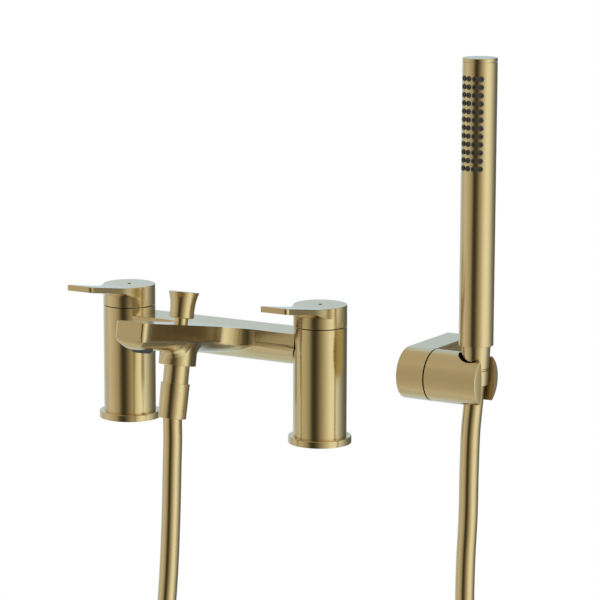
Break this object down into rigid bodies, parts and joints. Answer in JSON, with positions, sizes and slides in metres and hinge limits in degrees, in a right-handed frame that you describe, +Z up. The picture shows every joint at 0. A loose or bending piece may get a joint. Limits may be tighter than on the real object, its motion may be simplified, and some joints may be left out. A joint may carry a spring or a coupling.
{
  "type": "bath shower mixer",
  "caption": "Deck mounted two handle bath shower mixer with bridge and spout, lift diverter, hose, slim stick handset and a swivelling wall holder.",
  "frame": {"origin": "midway between the two inlets, on the deck that the two feet stand on", "axes": "+X along the bridge from the hot inlet to the cold inlet and on to the wall bracket, +Y towards the wall, +Z up; the spout points to -Y"},
  "size_m": [0.3733, 0.2075, 0.8092],
  "materials": {
    "brushed_brass": "brushed, satin",
    "plain_brass": "turned, bare",
    "hose_skin": "smooth, brass coloured skin",
    "dark_rubber": "matt",
    "dark_plastic": "moulded, fine matt",
    "pale_plastic": "moulded",
    "ceramic": "lapped ceramic",
    "steel": "stainless, turned",
    "red_dot": "enamel",
    "blue_dot": "enamel"
  },
  "bodies": {
    "fixed": {"mixer_body": "brushed_brass", "hot_pillar": "brushed_brass", "cold_pillar": "brushed_brass", "hot_base_ring": "brushed_brass", "cold_base_ring": "brushed_brass", "hot_base_gasket": "dark_rubber", "cold_base_gasket": "dark_rubber", "hot_bridge_seal": "dark_rubber", "cold_bridge_seal": "dark_rubber", "hot_cartridge": "plain_brass", "cold_cartridge": "plain_brass", "hot_port_seal": "dark_rubber", "cold_port_seal": "dark_rubber", "hot_fixed_disc": "ceramic", "cold_fixed_disc": "ceramic", "hot_gland": "plain_brass", "cold_gland": "plain_brass", "aerator_housing": "dark_plastic", "aerator_insert": "pale_plastic", "aerator_seal": "dark_rubber", "diverter_gland": "plain_brass", "outlet_spigot": "brushed_brass", "mixer_hose_nut": "brushed_brass", "mixer_hose_washer": "dark_rubber", "mixer_hose_collar": "plain_brass", "hose": "hose_skin", "bracket_block": "brushed_brass", "bracket_side_panel": "brushed_brass", "bracket_wall_plate": "steel", "bracket_lock_screw": "steel", "cradle_friction_washer": "dark_plastic"},
    "hot_valve": {"hot_moving_disc": "ceramic", "hot_spindle": "plain_brass", "hot_handle": "brushed_brass", "hot_handle_screw": "steel", "hot_dot": "red_dot"},
    "cold_valve": {"cold_moving_disc": "ceramic", "cold_spindle": "plain_brass", "cold_handle": "brushed_brass", "cold_handle_screw": "steel", "cold_dot": "blue_dot"},
    "diverter": {"diverter_knob": "brushed_brass", "diverter_stem": "plain_brass", "diverter_seal": "dark_rubber"},
    "cradle": {"cradle": "brushed_brass", "cradle_liner": "dark_rubber", "cradle_axle": "steel"},
    "handset": {"handset_hose_nut": "brushed_brass", "handset_hose_collar": "plain_brass", "handset_hose_washer": "dark_rubber", "handset_stem": "brushed_brass", "handset_tube": "brushed_brass", "handset_core": "dark_plastic", "handset_nozzles": "dark_rubber", "handset_end_cap": "brushed_brass", "hose_top": "hose_skin"}
  },
  "joints": [
    {"name": "hot_handle_turn", "type": "hinge", "parent": "fixed", "child": "hot_valve", "pos_m": [-0.09, 0, 0.1], "axis": [0, 0, 1], "range_deg": [-90, 0]},
    {"name": "cold_handle_turn", "type": "hinge", "parent": "fixed", "child": "cold_valve", "pos_m": [0.09, 0, 0.1], "axis": [0, 0, 1], "range_deg": [0, 90]},
    {"name": "diverter_lift", "type": "slide", "parent": "fixed", "child": "diverter", "axis": [0, 0.1822, 0.9833], "range_m": [0, 0.008]},
    {"name": "cradle_tilt", "type": "hinge", "parent": "fixed", "child": "cradle", "pos_m": [0.2, 0.008, 0.063], "axis": [1, 0, 0], "range_deg": [-15, 45], "deforming": ["hose_top"]},
    {"name": "handset_lift", "type": "slide", "parent": "cradle", "child": "handset", "axis": [0, 0, 1], "range_m": [0, 0.07], "deforming": ["hose_top"]}
  ]
}
